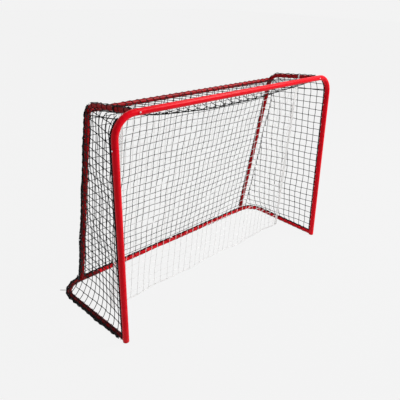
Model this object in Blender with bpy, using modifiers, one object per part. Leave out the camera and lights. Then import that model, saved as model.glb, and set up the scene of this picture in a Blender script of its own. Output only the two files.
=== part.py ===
"""Floorball goal: a red tubular frame that plugs together, its black net and a white drop net inside.

The front faces -Y, +X is to the right of someone who looks into the mouth from the front, and +Z is up.
The origin is on the floor, under the middle of the goal's outer box.
"""

import math
from functools import partial

import bmesh
import bpy
import numpy as np
from mathutils import Matrix, Vector

# Driving dimensions, in metres
OPENING_WIDTH = 1.600
OPENING_HEIGHT = 1.150
FRONT_TUBE = 0.032
REAR_TUBE = 0.025
WALL = 0.0015
DEPTH_AT_FLOOR = 0.619
DEPTH_AT_TOP = 0.390
TOP_BAR_HEIGHT = 1.128
BASE_SPLAY = 0.022
FRONT_CORNER_RADIUS = 0.106
BASE_CORNER_RADIUS = 0.115
HOOP_CORNER_RADIUS = 0.085
HOOP_INSET = 0.1095
GAP = 0.0003

# Plug joints between tubes
SPIGOT_LENGTH = 0.052
SPIGOT_WALL = 0.0013
SHOULDER = 0.0012
ELBOW_STUB = 0.009
ELBOW_LEG = 0.033
BASE_JOINT_X = 0.600
BUTTON_STATION = 0.010
BUTTON_RADIUS = 0.004
BUTTON_PROUD = 0.003
BUTTON_HOLE_RADIUS = 0.0043
FLANGE_RADIUS = 0.0052
FLANGE_THICKNESS = 0.0012
LEAF_THICKNESS = 0.0008
LEAF_WIDTH = 0.0070
LEAF_REACH = 0.017

# Nets
TWINE = 0.0025
BACK_CELLS = (12, 9)
SIDE_CELLS = (4, 9)
ROOF_CELLS = (12, 3)
DROP_CELLS = (12, 9)
NET_BOTTOM = 0.030
FLARE = 0.055
FLARE_HEIGHT = 0.040
CORD = 0.004
DROP_LINE = 0.005
DROP_HEM = 0.006
TIE = 0.0018
DROP_DEPTH = 0.150
DROP_LENGTH = 1.126
DROP_LEAN = math.radians(6.1)
DROP_TOP_HALF = 0.690
DROP_BOTTOM_HALF = 0.735
# Depth and radius of the bunched net along each base bar
NET_ROLL = ((0.060, 0.0025), (0.100, 0.0045), (0.150, 0.0045), (0.200, 0.0065), (0.250, 0.0070), (0.300, 0.0040),
            (0.400, 0.0030))
ROLL_HEIGHT = 0.0095

# The lacing's knot on the left base bar, and its loose end at the rear corner, on the floor
KNOT_RADIUS = 0.007
KNOT_DEPTH = 0.446
TAIL = 0.003
TAIL_ANGLE = math.radians(140)
TAIL_STEPS = ((0.0, 0.0040), (0.010, 0.0026), (0.021, 0.0018), (0.032, 0.0016), (0.0425, 0.0017))
TAIL_BENDS = (0.0, 0.0004, 0.0015, 0.0030, 0.0035)

RED = (0.62, 0.012, 0.018)
DARK_RED = (0.45, 0.010, 0.015)
BLACK = (0.012, 0.012, 0.012)
WHITE = (0.80, 0.80, 0.78)
STEEL = (0.60, 0.60, 0.62)

# Derived sizes
FRONT_R = FRONT_TUBE / 2
REAR_R = REAR_TUBE / 2
POST_X = OPENING_WIDTH / 2 + FRONT_R
CROSSBAR_Z = OPENING_HEIGHT + FRONT_R
ARC_X = POST_X - FRONT_CORNER_RADIUS
ARC_Z = CROSSBAR_Z - FRONT_CORNER_RADIUS
HOOP_X = POST_X - HOOP_INSET
BASE_X = POST_X + BASE_SPLAY
SPIGOT_SHRINK = WALL + GAP
ROOF_HALF = HOOP_X - REAR_R - 2 * TIE - TWINE
FRONT_FACE = -FRONT_R - BUTTON_PROUD
REAR_FACE = DEPTH_AT_FLOOR + REAR_R + 0.003
MIDDLE_Y = (FRONT_FACE + REAR_FACE) / 2
LEFT, RIGHT = -1, 1
SIDES = {"left": LEFT, "right": RIGHT}
X_AXIS, Y_AXIS, Z_AXIS = Vector((1, 0, 0)), Vector((0, 1, 0)), Vector((0, 0, 1))


def start_scene():
    """Empties the scene and makes one collection for the goal and one for its cutters."""
    for obj in list(bpy.data.objects):
        bpy.data.objects.remove(obj, do_unlink=True)
    made = []
    for name in ("floorball_goal", "cutters"):
        collection = bpy.data.collections.new(name)
        bpy.context.scene.collection.children.link(collection)
        made.append(collection)
    return made


GOAL, CUTTERS = start_scene()


def paint(obj, colour, roughness, metallic=0.0):
    material = bpy.data.materials.new(obj.name)
    material.use_nodes = True
    shader = material.node_tree.nodes["Principled BSDF"]
    shader.inputs["Base Color"].default_value = (*colour, 1.0)
    shader.inputs["Roughness"].default_value = roughness
    shader.inputs["Metallic"].default_value = metallic
    obj.data.materials.clear()
    obj.data.materials.append(material)


def add_object(name, mesh, collection=None):
    obj = bpy.data.objects.new(name, mesh)
    (collection or GOAL).objects.link(obj)
    return obj


def as_cutter(obj):
    obj.hide_render = True
    obj.display_type = "WIRE"
    return obj


def cut(obj, cutter):
    boolean = obj.modifiers.new(cutter.name, "BOOLEAN")
    boolean.operation = "DIFFERENCE"
    boolean.solver = "EXACT"
    boolean.object = cutter


def smooth(obj):
    obj.data.shade_smooth()
    obj.data.set_sharp_from_angle(angle=math.radians(40))


def place(obj, origin, x_axis, z_axis):
    """Puts an object at origin, with its own X and Z along the two directions."""
    z = Vector(z_axis).normalized()
    x = Vector(x_axis).normalized()
    y = z.cross(x)
    obj.matrix_world = Matrix.Translation(origin) @ Matrix((x, y, z)).transposed().to_4x4()


def swept(name, points, radius, sides, capped, collection=None, scales=None):
    """A round tube's skin, or with caps a round rod, along a line of points."""
    curve = bpy.data.curves.new(name, "CURVE")
    curve.dimensions = "3D"
    curve.bevel_depth = radius
    curve.bevel_resolution = sides // 2 - 2
    curve.use_fill_caps = capped
    spline = curve.splines.new("POLY")
    spline.points.add(len(points) - 1)
    for i, point in enumerate(points):
        spline.points[i].co = (*point, 1.0)
        spline.points[i].radius = scales[i] if scales else 1.0
    guide = bpy.data.objects.new(name + "_guide", curve)
    GOAL.objects.link(guide)
    mesh = bpy.data.meshes.new_from_object(guide.evaluated_get(bpy.context.evaluated_depsgraph_get()))
    bpy.data.objects.remove(guide)
    shell = bmesh.new()
    shell.from_mesh(mesh)
    bmesh.ops.remove_doubles(shell, verts=shell.verts, dist=0.00001)
    shell.to_mesh(mesh)
    shell.free()
    return add_object(name, mesh, collection)


def hollow(obj, wall):
    solidify = obj.modifiers.new("wall", "SOLIDIFY")
    solidify.thickness = wall
    solidify.offset = -1.0
    solidify.use_even_offset = True


def turned(name, profile, steps, closed_loop=False, collection=None):
    """A turned shape about its own Z, from (radius, height) points listed down its outer side."""
    mesh = bpy.data.meshes.new(name)
    vertices = [(radius, 0.0, height) for radius, height in profile]
    edges = [(i, i + 1) for i in range(len(profile) - 1)]
    if closed_loop:
        edges.append((len(profile) - 1, 0))
    mesh.from_pydata(vertices, edges, [])
    obj = add_object(name, mesh, collection)
    screw = obj.modifiers.new("turn", "SCREW")
    screw.axis = "Z"
    screw.steps = steps
    screw.render_steps = steps
    screw.use_merge_vertices = True
    screw.merge_threshold = 0.00001
    screw.use_normal_calculate = False
    return obj


def straight_tube(name, start, end, radius, wall, steps):
    """A hollow tube with flat ends from one point to another."""
    start, end = Vector(start), Vector(end)
    length = (end - start).length
    profile = [(radius, length), (radius, 0.0), (radius - wall, 0.0), (radius - wall, length)]
    obj = turned(name, profile, steps, closed_loop=True)
    along = (end - start).normalized()
    side = Y_AXIS if abs(along.y) < 0.5 else X_AXIS
    place(obj, start, side, along)
    return obj


def corner_points(before, corner, after, radius, steps):
    """Points on the round bend of that radius which replaces a sharp corner."""
    before, corner, after = Vector(before), Vector(corner), Vector(after)
    inward = (before - corner).normalized()
    outward = (after - corner).normalized()
    turn = math.pi - inward.angle(outward)
    setback = radius * math.tan(turn / 2)
    centre = corner + (inward + outward).normalized() * radius / math.cos(turn / 2)
    first = corner + inward * setback - centre
    axis = inward.cross(outward).normalized()
    return [centre + Matrix.Rotation(-turn * i / steps, 3, axis) @ first for i in range(steps + 1)]


def rear(y):
    """Turns a depth behind the front frame's plane into this part's Y."""
    return y - MIDDLE_Y


def upright_depth(z):
    """Depth of the rear uprights' centre line at a height."""
    share = (z - REAR_R) / (TOP_BAR_HEIGHT - REAR_R)
    return DEPTH_AT_FLOOR + (DEPTH_AT_TOP - DEPTH_AT_FLOOR) * share


def side_bar_height(y):
    """Height of the top side bars' centre line at a depth."""
    return CROSSBAR_Z + (TOP_BAR_HEIGHT - CROSSBAR_Z) * y / DEPTH_AT_TOP


def elbow_path(side):
    """Centre line of a front corner from the post's spigot to the crossbar's, with its radius scales."""
    shrunk = (FRONT_R - SPIGOT_SHRINK) / FRONT_R
    post_end = ARC_Z - ELBOW_LEG
    bar_end = ARC_X - ELBOW_STUB
    heights = [post_end - SPIGOT_LENGTH, post_end - SHOULDER, post_end]
    points = [Vector((side * POST_X, rear(0), z)) for z in heights]
    bend_before = (side * POST_X, rear(0), ARC_Z - 0.01)
    bend_after = (side * (ARC_X - 0.01), rear(0), CROSSBAR_Z)
    corner = (side * POST_X, rear(0), CROSSBAR_Z)
    points += corner_points(bend_before, corner, bend_after, FRONT_CORNER_RADIUS, 8)
    ends = [bar_end, bar_end - SHOULDER, bar_end - SPIGOT_LENGTH]
    points += [Vector((side * x, rear(0), CROSSBAR_Z)) for x in ends]
    scales = [shrunk, shrunk] + [1.0] * (len(points) - 4) + [shrunk, shrunk]
    return points, scales


def hoop_path(side, overrun=0.0):
    """Centre line of a rear upright and its top side bar, from the base up and forward to the front corner."""
    x = side * HOOP_X
    foot = Vector((x, rear(DEPTH_AT_FLOOR), REAR_R))
    corner = Vector((x, rear(DEPTH_AT_TOP), TOP_BAR_HEIGHT))
    front = Vector((x, rear(0), CROSSBAR_Z))
    bend = corner_points(foot, corner, front, HOOP_CORNER_RADIUS, 6)
    return [foot] + bend + [front + (front - corner).normalized() * overrun]


def base_path(side):
    """Centre line of a base bar, from the post back to the rear corner and in along the rear."""
    front = Vector((side * POST_X, rear(0), REAR_R))
    corner = Vector((side * BASE_X, rear(DEPTH_AT_FLOOR), REAR_R))
    inner = Vector((side * BASE_JOINT_X, rear(DEPTH_AT_FLOOR), REAR_R))
    return [front] + corner_points(front, corner, inner, BASE_CORNER_RADIUS, 10) + [inner]


def make_front_frame():
    post_top = ARC_Z - ELBOW_LEG - SHOULDER - GAP
    bar_end = ARC_X - ELBOW_STUB - SHOULDER - GAP
    for word, side in SIDES.items():
        bottom = (side * POST_X, rear(0), 0.003 + GAP)
        top = (side * POST_X, rear(0), post_top)
        post = straight_tube("post_" + word, bottom, top, FRONT_R, WALL, 20)
        paint(post, RED, 0.3)
        plug = FRONT_R - WALL - GAP
        profile = [(0.0, 0.028), (plug - 0.001, 0.028), (plug, 0.026), (plug, 0.003), (FRONT_R, 0.003),
                   (FRONT_R, 0.0015), (FRONT_R - 0.0015, 0.0), (0.0, 0.0)]
        cap = turned("foot_cap_" + word, profile, 20)
        cap.location = (side * POST_X, rear(0), 0.0)
        paint(cap, DARK_RED, 0.5)
        points, scales = elbow_path(side)
        elbow = swept("corner_elbow_" + word, points, FRONT_R, 20, False, scales=scales)
        hollow(elbow, SPIGOT_WALL)
        paint(elbow, RED, 0.3)
    crossbar = straight_tube("crossbar", (-bar_end, rear(0), CROSSBAR_Z), (bar_end, rear(0), CROSSBAR_Z), FRONT_R, WALL, 20)
    paint(crossbar, RED, 0.3)


def make_base():
    for word, side in SIDES.items():
        bar = swept("base_bar_" + word, base_path(side), REAR_R, 16, False)
        hollow(bar, WALL)
        post_shape = turned("post_saddle_" + word, [(0.0, 0.2), (FRONT_R + GAP, 0.2), (FRONT_R + GAP, -0.1), (0.0, -0.1)], 20,
                            collection=CUTTERS)
        post_shape.location = (side * POST_X, rear(0), 0.0)
        cut(bar, as_cutter(post_shape))
        paint(bar, RED, 0.35)
    shrunk = (REAR_R - SPIGOT_SHRINK) / REAR_R
    inner = BASE_JOINT_X - SHOULDER - GAP
    stations = [-inner - SPIGOT_LENGTH, -inner, -inner + SHOULDER, inner - SHOULDER, inner, inner + SPIGOT_LENGTH]
    points = [Vector((x, rear(DEPTH_AT_FLOOR), REAR_R)) for x in stations]
    rear_bar = swept("base_rear_bar", points, REAR_R, 16, False, scales=[shrunk, shrunk, 1.0, 1.0, shrunk, shrunk])
    hollow(rear_bar, SPIGOT_WALL)
    paint(rear_bar, RED, 0.35)


def make_rear_frame():
    """The two hoops are saddle-cut to the base bars and the front corners, and the rear top bar to the hoops."""
    hoop_shapes = []
    for word, side in SIDES.items():
        hoop = swept("side_hoop_" + word, hoop_path(side), REAR_R, 16, False)
        hollow(hoop, WALL)
        base_shape = swept("base_saddle_" + word, [(side * (HOOP_X - 0.05), rear(DEPTH_AT_FLOOR), REAR_R),
                                                   (side * (HOOP_X + 0.05), rear(DEPTH_AT_FLOOR), REAR_R)],
                           REAR_R + GAP, 16, True, CUTTERS)
        cut(hoop, as_cutter(base_shape))
        points, scales = elbow_path(side)
        front_shape = swept("elbow_saddle_" + word, points, FRONT_R + GAP, 20, True, CUTTERS)
        cut(hoop, as_cutter(front_shape))
        paint(hoop, RED, 0.35)
        hoop_shapes.append(swept("hoop_saddle_" + word, hoop_path(side), REAR_R + GAP, 16, True, CUTTERS))
    y, z = rear_bar_place()
    bar = straight_tube("rear_top_bar", (-HOOP_X, rear(y), z), (HOOP_X, rear(y), z), REAR_R, WALL, 16)
    for shape in hoop_shapes:
        cut(bar, as_cutter(shape))
    paint(bar, RED, 0.35)


def rear_bar_place():
    """Depth and height of the rear top bar, which meets the hoops a third of the way into their bends."""
    seat = hoop_path(RIGHT)[3]
    return seat.y + MIDDLE_Y, seat.z


def button_profile(seat, outer_radius):
    """A domed button on a thin flange; its heights are measured from the tube's axis."""
    top = outer_radius + BUTTON_PROUD
    dome = BUTTON_PROUD
    arc = [(BUTTON_RADIUS * math.sin(a), top - dome * (1 - math.cos(a)))
           for a in np.linspace(0.0, math.pi / 2, 4)]
    return arc + [(BUTTON_RADIUS, seat), (FLANGE_RADIUS, seat), (FLANGE_RADIUS, seat - FLANGE_THICKNESS),
                  (0.0, seat - FLANGE_THICKNESS)]


def leaf_outline(bore):
    """The fixed part of the spring leaf, seen from the side: along the far wall, then round and back."""
    rest = bore - 0.0032
    centre_x = LEAF_REACH + 0.001
    outer = [(centre_x + rest * math.sin(a) * 0.8, -rest * math.cos(a)) for a in np.linspace(0.0, math.pi, 9)]
    inner_rest = rest - LEAF_THICKNESS
    inner = [(centre_x + (inner_rest * 0.8) * math.sin(a), -inner_rest * math.cos(a))
             for a in np.linspace(math.pi, 0.0, 9)]
    return [(-0.005, -rest)] + outer + inner + [(-0.005, -inner_rest)]


def make_snap_joint(word, origin, along, outward, outer_radius, sleeve, spigot):
    """A sprung button through a sleeve tube and the spigot inside it, and the leaf that pushes it out."""
    bore = outer_radius - SPIGOT_SHRINK - SPIGOT_WALL
    seat = math.sqrt(bore**2 - FLANGE_RADIUS**2) - 2 * GAP
    hole = turned("hole_" + word, [(0.0, outer_radius * 2), (BUTTON_HOLE_RADIUS, outer_radius * 2),
                                   (BUTTON_HOLE_RADIUS, bore * 0.5), (0.0, bore * 0.5)], 12, collection=CUTTERS)
    place(hole, origin, along, outward)
    as_cutter(hole)
    for tube in (sleeve, spigot):
        cut(bpy.data.objects[tube], hole)
    button = turned("snap_button_" + word, button_profile(seat, outer_radius), 12)
    place(button, origin, along, outward)
    paint(button, STEEL, 0.3, 1.0)
    curve = bpy.data.curves.new("button_leaf_" + word, "CURVE")
    curve.dimensions = "2D"
    curve.fill_mode = "BOTH"
    curve.extrude = LEAF_WIDTH / 2
    spline = curve.splines.new("POLY")
    outline = leaf_outline(bore)
    spline.points.add(len(outline) - 1)
    for i, (x, z) in enumerate(outline):
        spline.points[i].co = (x, z, 0.0, 1.0)
    spline.use_cyclic_u = True
    guide = add_object("leaf_guide", curve)
    mesh = bpy.data.meshes.new_from_object(guide.evaluated_get(bpy.context.evaluated_depsgraph_get()))
    bpy.data.objects.remove(guide)
    strip = bmesh.new()
    strip.from_mesh(mesh)
    bmesh.ops.remove_doubles(strip, verts=strip.verts, dist=0.00001)
    bmesh.ops.rotate(strip, verts=strip.verts, matrix=Matrix.Rotation(math.pi / 2, 3, "X"))
    strip.to_mesh(mesh)
    strip.free()
    leaf = add_object("button_leaf_" + word, mesh)
    place(leaf, origin, along, outward)
    paint(leaf, STEEL, 0.4, 1.0)


def make_snap_joints():
    bar_x = ARC_X - ELBOW_STUB - BUTTON_STATION
    post_z = ARC_Z - ELBOW_LEG - BUTTON_STATION
    base_x = BASE_JOINT_X + BUTTON_STATION
    for word, side in SIDES.items():
        elbow = "corner_elbow_" + word
        make_snap_joint("crossbar_" + word, (side * bar_x, rear(0), CROSSBAR_Z), -side * X_AXIS, -Y_AXIS, FRONT_R,
                        "crossbar", elbow)
        make_snap_joint("post_" + word, (side * POST_X, rear(0), post_z), -Z_AXIS, side * X_AXIS, FRONT_R,
                        "post_" + word, elbow)
        make_snap_joint("base_" + word, (side * base_x, rear(DEPTH_AT_FLOOR), REAR_R), side * X_AXIS, Y_AXIS, REAR_R,
                        "base_bar_" + word, "base_rear_bar")


def lattice(name, cells, surface):
    """A knotted net as a grid of square twine; surface(u, v) gives its points for u and v from 0 to 1."""
    columns, rows = cells
    grid = bmesh.new()
    bmesh.ops.create_grid(grid, x_segments=columns, y_segments=rows, size=0.5)
    for vertex in grid.verts:
        vertex.co = surface(vertex.co.x + 0.5, vertex.co.y + 0.5)
    mesh = bpy.data.meshes.new(name)
    grid.to_mesh(mesh)
    grid.free()
    obj = add_object(name, mesh)
    wire = obj.modifiers.new("twine", "WIREFRAME")
    wire.thickness = TWINE
    wire.offset = 0.0
    wire.use_boundary = True
    wire.use_replace = True
    wire.use_even_offset = True
    return obj


def side_net_point(side, u, v):
    """From the post's back, u = 0, to the upright's outer side, u = 1, and up the goal with v."""
    top = TOP_BAR_HEIGHT - 0.012
    z = NET_BOTTOM + (top - NET_BOTTOM) * v
    above = max(0.0, z - ARC_Z)
    front_x = ARC_X + math.sqrt(FRONT_CORNER_RADIUS**2 - above**2) if above else POST_X
    front_y = FRONT_R + CORD + TWINE
    rear_x = HOOP_X + REAR_R + TWINE + FLARE * math.exp(-(z - NET_BOTTOM) / FLARE_HEIGHT)
    rear_y = upright_depth(z) + REAR_R * 0.5
    return Vector((side * (front_x + (rear_x - front_x) * u), rear(front_y + (rear_y - front_y) * u), z))


def back_net_point(u, v):
    top = TOP_BAR_HEIGHT - 0.02
    z = NET_BOTTOM + (top - NET_BOTTOM) * v
    return Vector(((2 * u - 1) * HOOP_X, rear(upright_depth(z) + REAR_R + TWINE), z))


def roof_net_point(u, v):
    y = FRONT_R + TWINE + (DEPTH_AT_TOP - 0.035 - FRONT_R - TWINE) * v
    return Vector(((2 * u - 1) * ROOF_HALF, rear(y), side_bar_height(y) + REAR_R / 2))


def drop_line_height():
    """The drop net's line hangs just under its two ties."""
    return side_bar_height(DROP_DEPTH) - REAR_R - 2 * TIE - 2 * GAP - DROP_LINE / 2 - 0.0005


def drop_point(along, x):
    """A point of the drop net at a distance down from its line."""
    down = drop_line_height() - along * math.cos(DROP_LEAN)
    return Vector((x, rear(DROP_DEPTH + along * math.sin(DROP_LEAN)), down))


def drop_half_width(along):
    return DROP_TOP_HALF + (DROP_BOTTOM_HALF - DROP_TOP_HALF) * along / DROP_LENGTH


def drop_net_point(u, v):
    first = DROP_LINE / 2 + TWINE / 2 + 2 * GAP
    last = DROP_LENGTH - DROP_HEM / 2 - TWINE / 2 - 2 * GAP
    along = last + (first - last) * v
    return drop_point(along, (2 * u - 1) * drop_half_width(along))


def make_nets():
    for word, side in SIDES.items():
        net = lattice("net_side_" + word, SIDE_CELLS, partial(side_net_point, side))
        paint(net, BLACK, 0.8)
        bottom = (side * POST_X, rear(FRONT_R + CORD / 2 + 2 * GAP), 0.035)
        top = (side * POST_X, rear(FRONT_R + CORD / 2 + 2 * GAP), ARC_Z)
        cord = swept("post_cord_" + word, [bottom, top], CORD / 2, 8, True)
        paint(cord, BLACK, 0.8)
    for name, cells, surface in (("net_back", BACK_CELLS, back_net_point), ("net_roof", ROOF_CELLS, roof_net_point)):
        paint(lattice(name, cells, surface), BLACK, 0.8)


def make_drop_net():
    """The white inner net hangs from a line tied to the top side bars, and swings about that line."""
    height = drop_line_height()
    line = swept("drop_net_line", [(-HOOP_X, rear(DROP_DEPTH), height), (HOOP_X, rear(DROP_DEPTH), height)],
                 DROP_LINE / 2, 8, True)
    paint(line, WHITE, 0.8)
    slope = Vector((0, DEPTH_AT_TOP, TOP_BAR_HEIGHT - CROSSBAR_Z)).normalized()
    for word, side in SIDES.items():
        ring = REAR_R + TIE + GAP
        bpy.ops.mesh.primitive_torus_add(major_radius=ring, minor_radius=TIE, major_segments=20, minor_segments=8)
        tie = bpy.context.active_object
        tie.name = "drop_net_tie_" + word
        tie.data.name = tie.name
        for collection in list(tie.users_collection):
            collection.objects.unlink(tie)
        GOAL.objects.link(tie)
        place(tie, (side * HOOP_X, rear(DROP_DEPTH), side_bar_height(DROP_DEPTH)), X_AXIS, slope)
        paint(tie, BLACK if side == LEFT else WHITE, 0.8)
    pivot = bpy.data.objects.new("drop_net_pivot", None)
    GOAL.objects.link(pivot)
    pivot.location = (0, rear(DROP_DEPTH), height)
    net = lattice("drop_net", DROP_CELLS, drop_net_point)
    hem_ends = [drop_point(DROP_LENGTH, side * DROP_BOTTOM_HALF) for side in (LEFT, RIGHT)]
    hem = swept("drop_net_hem", hem_ends, DROP_HEM / 2, 8, True)
    for piece in (net, hem):
        paint(piece, WHITE, 0.8)
        piece.parent = pivot
        piece.matrix_parent_inverse = Matrix.Translation(-Vector(pivot.location))


def make_net_rolls():
    """The net's spare cloth, bunched along the outer side of each base bar."""
    widest = max(radius for depth, radius in NET_ROLL)
    for word, side in SIDES.items():
        line = [beside_base_bar(side, depth, radius, ROLL_HEIGHT) for depth, radius in NET_ROLL]
        scales = [radius / widest for depth, radius in NET_ROLL]
        roll = swept("net_roll_" + word, line, widest, 12, True, scales=scales)
        paint(roll, BLACK, 0.9)


def beside_base_bar(side, depth, radius, height):
    """Where something of that radius lies against the outer side of a base bar, at a depth and height."""
    slope = BASE_SPLAY / DEPTH_AT_FLOOR
    away = (REAR_R + radius + 2 * GAP) * math.hypot(1.0, slope)
    return Vector((side * (POST_X + away + slope * depth), rear(depth), height))


def make_lacing_end():
    """The knot sits against the left base bar, and the tail runs out over the floor from the rear corner."""
    turn = math.pi / 2 + math.atan2(BASE_SPLAY, DEPTH_AT_FLOOR)
    bend_x = BASE_X - BASE_CORNER_RADIUS * math.tan(turn / 2)
    bend_y = DEPTH_AT_FLOOR - BASE_CORNER_RADIUS
    outward = Vector((math.cos(TAIL_ANGLE), math.sin(TAIL_ANGLE), 0))
    sideways = Vector((math.sin(TAIL_ANGLE), -math.cos(TAIL_ANGLE), 0))
    ball = bmesh.new()
    bmesh.ops.create_uvsphere(ball, u_segments=10, v_segments=6, radius=KNOT_RADIUS)
    mesh = bpy.data.meshes.new("lacing_knot")
    ball.to_mesh(mesh)
    ball.free()
    knot = add_object("lacing_knot", mesh)
    knot.location = beside_base_bar(LEFT, KNOT_DEPTH, KNOT_RADIUS, REAR_R)
    paint(knot, BLACK, 0.9)
    reach = BASE_CORNER_RADIUS + REAR_R + TAIL / 2 + GAP
    start = Vector((-bend_x, rear(bend_y), 0)) + outward * reach
    route = []
    for (along, height), bend in zip(TAIL_STEPS, TAIL_BENDS):
        point = start + outward * along + sideways * bend
        point.z = height
        route.append(point)
    tail = swept("lacing_tail", route, TAIL / 2, 8, True)
    paint(tail, BLACK, 0.9)


def main():
    make_front_frame()
    make_base()
    make_rear_frame()
    make_snap_joints()
    make_nets()
    make_drop_net()
    make_net_rolls()
    make_lacing_end()
    for obj in GOAL.objects:
        if obj.type == "MESH":
            smooth(obj)


main()
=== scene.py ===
"""Looks for a floorball goal: painted tubes, knotted nets, their lacing and the white drop net inside.

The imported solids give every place. The front faces -Y, +X is to the right seen from in front, +Z is up.
"""

import math
from functools import partial

import bpy
import numpy as np
from mathutils import Matrix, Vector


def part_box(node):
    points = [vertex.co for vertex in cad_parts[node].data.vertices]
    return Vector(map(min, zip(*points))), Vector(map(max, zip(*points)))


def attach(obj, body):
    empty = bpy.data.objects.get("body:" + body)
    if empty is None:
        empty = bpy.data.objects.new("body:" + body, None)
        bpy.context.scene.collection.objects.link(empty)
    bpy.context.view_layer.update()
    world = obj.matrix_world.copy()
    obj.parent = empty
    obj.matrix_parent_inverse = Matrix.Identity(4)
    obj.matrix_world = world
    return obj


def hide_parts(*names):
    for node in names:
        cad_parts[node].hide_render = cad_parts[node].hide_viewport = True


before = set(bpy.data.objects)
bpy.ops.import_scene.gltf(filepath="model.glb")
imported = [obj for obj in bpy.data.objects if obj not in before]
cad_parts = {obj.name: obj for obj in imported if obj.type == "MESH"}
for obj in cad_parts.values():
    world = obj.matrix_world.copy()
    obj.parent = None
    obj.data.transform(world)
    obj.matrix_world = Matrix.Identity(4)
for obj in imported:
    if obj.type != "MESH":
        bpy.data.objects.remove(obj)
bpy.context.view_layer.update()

bl_info = {
    "name": "Floorball Goal Looks",
    "version": (1, 0, 0),
    "blender": (4, 5, 0),
    "location": "View3D > Sidebar > Goal",
    "description": "Dresses a floorball goal's tubes with paint, nets, lacing and a drop net",
    "category": "Object",
}

SIDES = {"left": -1, "right": 1}


def node_box(node):
    """Lowest and highest corner of a solid as numpy arrays."""
    low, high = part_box(node)
    return np.array(low), np.array(high)


def node_middle(node):
    low, high = node_box(node)
    return (low + high) / 2


def half_size(node, axis):
    low, high = node_box(node)
    return (high[axis] - low[axis]) / 2


# The tubes' radii and centre lines and the drop net's line, read from the solids' boxes
FRONT_R, REAR_R = half_size("post_right", 0), half_size("base_rear_bar", 2)
POST_X, FRONT_Y = node_middle("post_right")[:2]
BAR_Z = node_middle("crossbar")[2]
BASE_Y = node_middle("base_rear_bar")[1]
TOP_Y, TOP_Z = node_middle("rear_top_bar")[1:]
LINE_Y, LINE_Z = node_middle("drop_net_line")[1:]
LINE_HALF = node_box("drop_net_line")[1][0]

# The tubes' bends, in metres
HOOP_X = 0.7065
HOOP_CORNER_DEPTH = 0.390
HOOP_CORNER_Z = 1.128
HOOP_BEND_RADIUS = 0.085
BASE_BEND_RADIUS = 0.115
BASE_SPLAY = 0.022
FRONT_BEND_RADIUS = 0.106
HOOP_CORNER_Y = FRONT_Y + HOOP_CORNER_DEPTH
# The side hoops' direction where the rear top bar meets their bends
HOOP_DIRECTION = (0, -0.579, 0.815)
CORNER_X = POST_X + BASE_SPLAY
SPLAY = BASE_SPLAY / (BASE_Y - FRONT_Y)
BASE_BEND_X = CORNER_X - BASE_BEND_RADIUS * math.tan(math.pi / 4 + math.atan(SPLAY) / 2)

# The nets; the seam stands off the upright, tight on the left and slack on the right
SEAM_OUT = {-1: 0.004, 1: 0.034}
SEAM_FORWARD = {-1: -0.006, 1: 0.018}
SELVAGE_DROP = {-1: (0.020, 0.050), 1: (0.088, 0.080)}
SELVAGE_RADIUS = 0.0026
WRAP_CLEAR = 0.0022
DROP_LEAN = math.radians(6.1)
DROP_LENGTH = 1.126
DROP_TOP_HALF = 0.690
DROP_BOTTOM_HALF = 0.735
WRAP = 0.034
FLARE_HEIGHT = 0.050
ROOF_SAG = 0.056
ROOF_REAR_Y = TOP_Y - REAR_R * 0.9
LINE_HOLD_WIDTH = 0.026
NET_FRONT = FRONT_Y + FRONT_R + 0.008
BACK_NET_LOW = 0.010
BACK_SLACK_HEIGHT = 0.30
BACK_GATHER = 0.030
BACK_SAG = 0.045
BACK_BULGE = 0.010
DROP_NET_FIRST = 0.004
DROP_NET_LAST = DROP_LENGTH - 0.003
HEM_RADIUS = 0.003
LINE_RADIUS = 0.0025
NET_RIPPLE = 0.0035
DROP_RIPPLE = 0.003
CALM_EDGE = 0.1
STRAND_STEPS = 3
SIDE_COLUMNS = 14
SPARE_STRANDS = 22
EDGE_STRANDS = 6
EDGE_WAVE = 0.012
EDGE_CORD_STRAND = 0.0018
TIE_ROPE_RADIUS = 0.0016
TIE_PITCH = 0.0026
FLOOR_CLEAR = 0.0022

# The net's gathered edge by side: angle in degrees, strands, fan and reach
UPRIGHT_BUNCH = {-1: (138, 7, 0.42, 0.0055), 1: (120, 3, 0.3, 0.004)}
BASE_BUNCH = {-1: (-92, 9, 0.40, 0.0065), 1: (55, 7, 0.45, 0.006)}
BASE_HANDS = {-1: (1,), 1: (1, -1)}
# The edge cord by side: out from the post's centre line, and back from it
EDGE_CORD_OFFSET = {-1: (0.0131, 0.0145), 1: (-0.0090, 0.0172)}

# Depth and radius of the bunched net, and the lacing's loose end, as in the solids
NET_ROLL = ((0.060, 0.0025), (0.100, 0.0045), (0.150, 0.0045), (0.200, 0.0065), (0.250, 0.0070), (0.300, 0.0040),
            (0.400, 0.0030))
ROLL_HEIGHT = 0.0095
KNOT_RADIUS = 0.007
TAIL = 0.003
TAIL_ANGLE = math.radians(140)
TAIL_STEPS = ((0.0, 0.0040), (0.010, 0.0026), (0.021, 0.0018), (0.032, 0.0016), (0.0425, 0.0017))
TAIL_BENDS = (0.0, 0.0004, 0.0015, 0.0030, 0.0035)


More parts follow.
